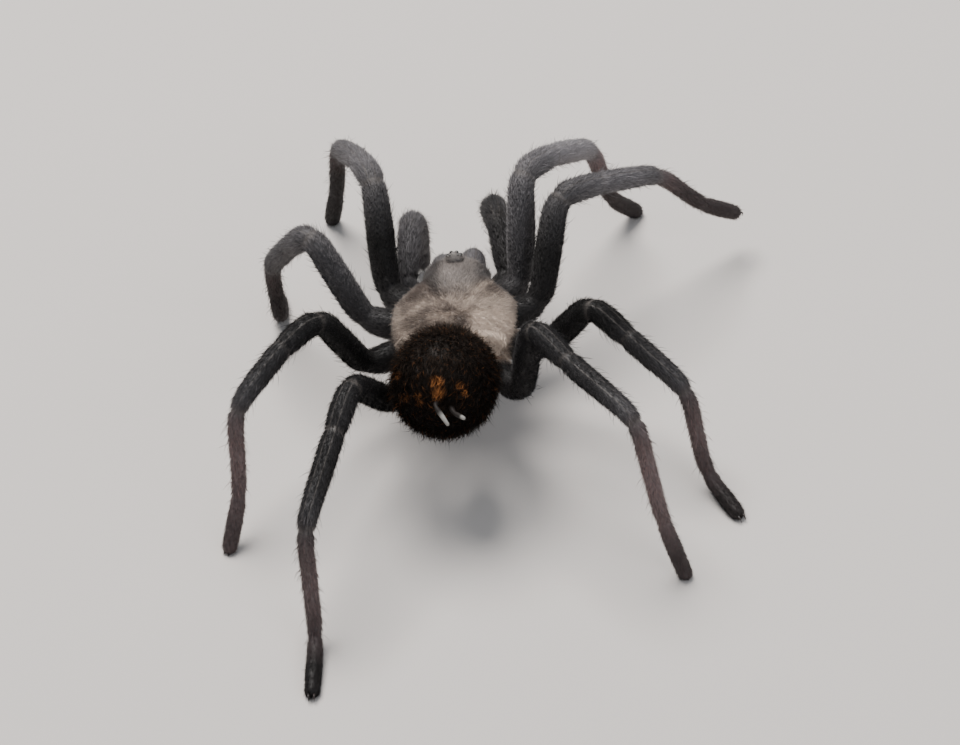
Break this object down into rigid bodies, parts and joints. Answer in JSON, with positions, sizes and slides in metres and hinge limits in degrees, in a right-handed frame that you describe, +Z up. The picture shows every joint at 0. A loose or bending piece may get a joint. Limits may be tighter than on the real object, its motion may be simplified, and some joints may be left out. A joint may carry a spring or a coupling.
{
  "type": "tarantula",
  "caption": "Life-size mature male tarantula, walking, standing on its splayed hairy legs with one front foot lifted; still, no joints.",
  "frame": {"origin": "on the floor, below the middle of the overall box", "axes": "+Y is the way the spider faces, +X is its right side, +Z is up"},
  "size_m": [0.0669, 0.0876, 0.0259],
  "materials": {
    "leg_coat": "short dense black-brown hair with a grey sheen",
    "foot_coat": "velvety black pads",
    "carapace_coat": "short tan-grey radial felt over a hard plate",
    "abdomen_coat": "black-brown hair with long rust-orange hairs",
    "underside_coat": "short black-brown hair",
    "eye_shell": "glossy black-brown shell",
    "fang_shell": "polished black"
  },
  "bodies": {
    "root": {"leg_l1_femur": "leg_coat", "leg_l1_patella": "leg_coat", "leg_l1_tibia": "leg_coat", "leg_l1_metatarsus": "leg_coat", "leg_l1_tarsus": "foot_coat", "leg_l2_femur": "leg_coat", "leg_l2_patella": "leg_coat", "leg_l2_tibia": "leg_coat", "leg_l2_metatarsus": "leg_coat", "leg_l2_tarsus": "foot_coat", "leg_l3_femur": "leg_coat", "leg_l3_patella": "leg_coat", "leg_l3_tibia": "leg_coat", "leg_l3_metatarsus": "leg_coat", "leg_l3_tarsus": "foot_coat", "leg_l4_femur": "leg_coat", "leg_l4_patella": "leg_coat", "leg_l4_tibia": "leg_coat", "leg_l4_metatarsus": "leg_coat", "leg_l4_tarsus": "foot_coat", "leg_r1_femur": "leg_coat", "leg_r1_patella": "leg_coat", "leg_r1_tibia": "leg_coat", "leg_r1_metatarsus": "leg_coat", "leg_r1_tarsus": "foot_coat", "leg_r2_femur": "leg_coat", "leg_r2_patella": "leg_coat", "leg_r2_tibia": "leg_coat", "leg_r2_metatarsus": "leg_coat", "leg_r2_tarsus": "foot_coat", "leg_r3_femur": "leg_coat", "leg_r3_patella": "leg_coat", "leg_r3_tibia": "leg_coat", "leg_r3_metatarsus": "leg_coat", "leg_r3_tarsus": "foot_coat", "leg_r4_femur": "leg_coat", "leg_r4_patella": "leg_coat", "leg_r4_tibia": "leg_coat", "leg_r4_metatarsus": "leg_coat", "leg_r4_tarsus": "foot_coat", "palp_l_femur": "leg_coat", "palp_l_patella": "leg_coat", "palp_l_tibia": "leg_coat", "palp_l_tarsus": "leg_coat", "palp_r_femur": "leg_coat", "palp_r_patella": "leg_coat", "palp_r_tibia": "leg_coat", "palp_r_tarsus": "leg_coat", "chelicera_l": "leg_coat", "fang_l": "fang_shell", "spinneret_l": "underside_coat", "chelicera_r": "leg_coat", "fang_r": "fang_shell", "spinneret_r": "underside_coat", "carapace": "carapace_coat", "eye_turret": "eye_shell", "abdomen": "abdomen_coat", "pedicel": "underside_coat", "sternum": "underside_coat"}
  },
  "joints": []
}
